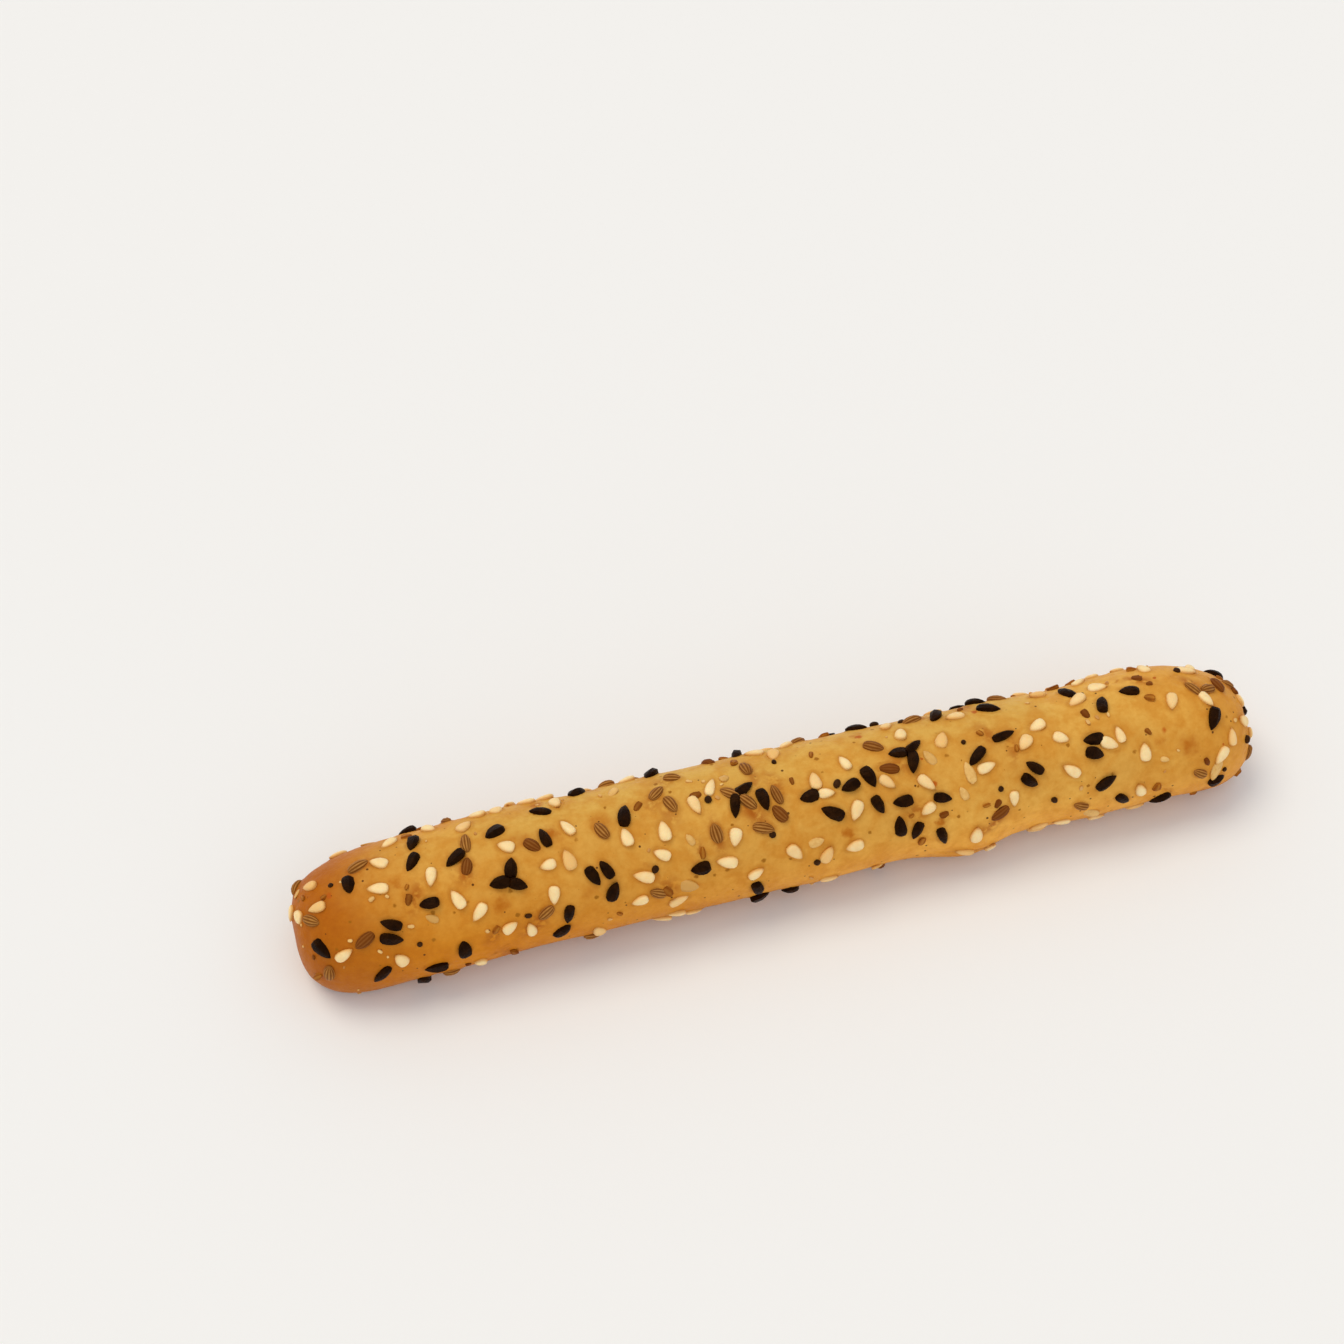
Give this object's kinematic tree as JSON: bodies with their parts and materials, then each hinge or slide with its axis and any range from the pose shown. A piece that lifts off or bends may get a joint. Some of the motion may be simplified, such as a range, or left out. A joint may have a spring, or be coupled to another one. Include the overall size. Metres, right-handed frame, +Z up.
{
  "type": "nigella seed breadstick",
  "caption": "Baked bread finger with round ends and a pressed flat foot, its golden crust set with cream, black and brown seeds.",
  "frame": {"origin": "middle of the flat foot that the stick rests on", "axes": "+X along the stick towards its slimmer end, +Z up from the foot"},
  "size_m": [0.1426, 0.022, 0.0193],
  "materials": {
    "crust": "golden baked crust, slightly glossy",
    "sesame": "cream seed, smooth",
    "nigella": "black seed, dull",
    "anise": "brown ribbed seed"
  },
  "bodies": {
    "root": {"breadstick": "crust"}
  },
  "joints": []
}
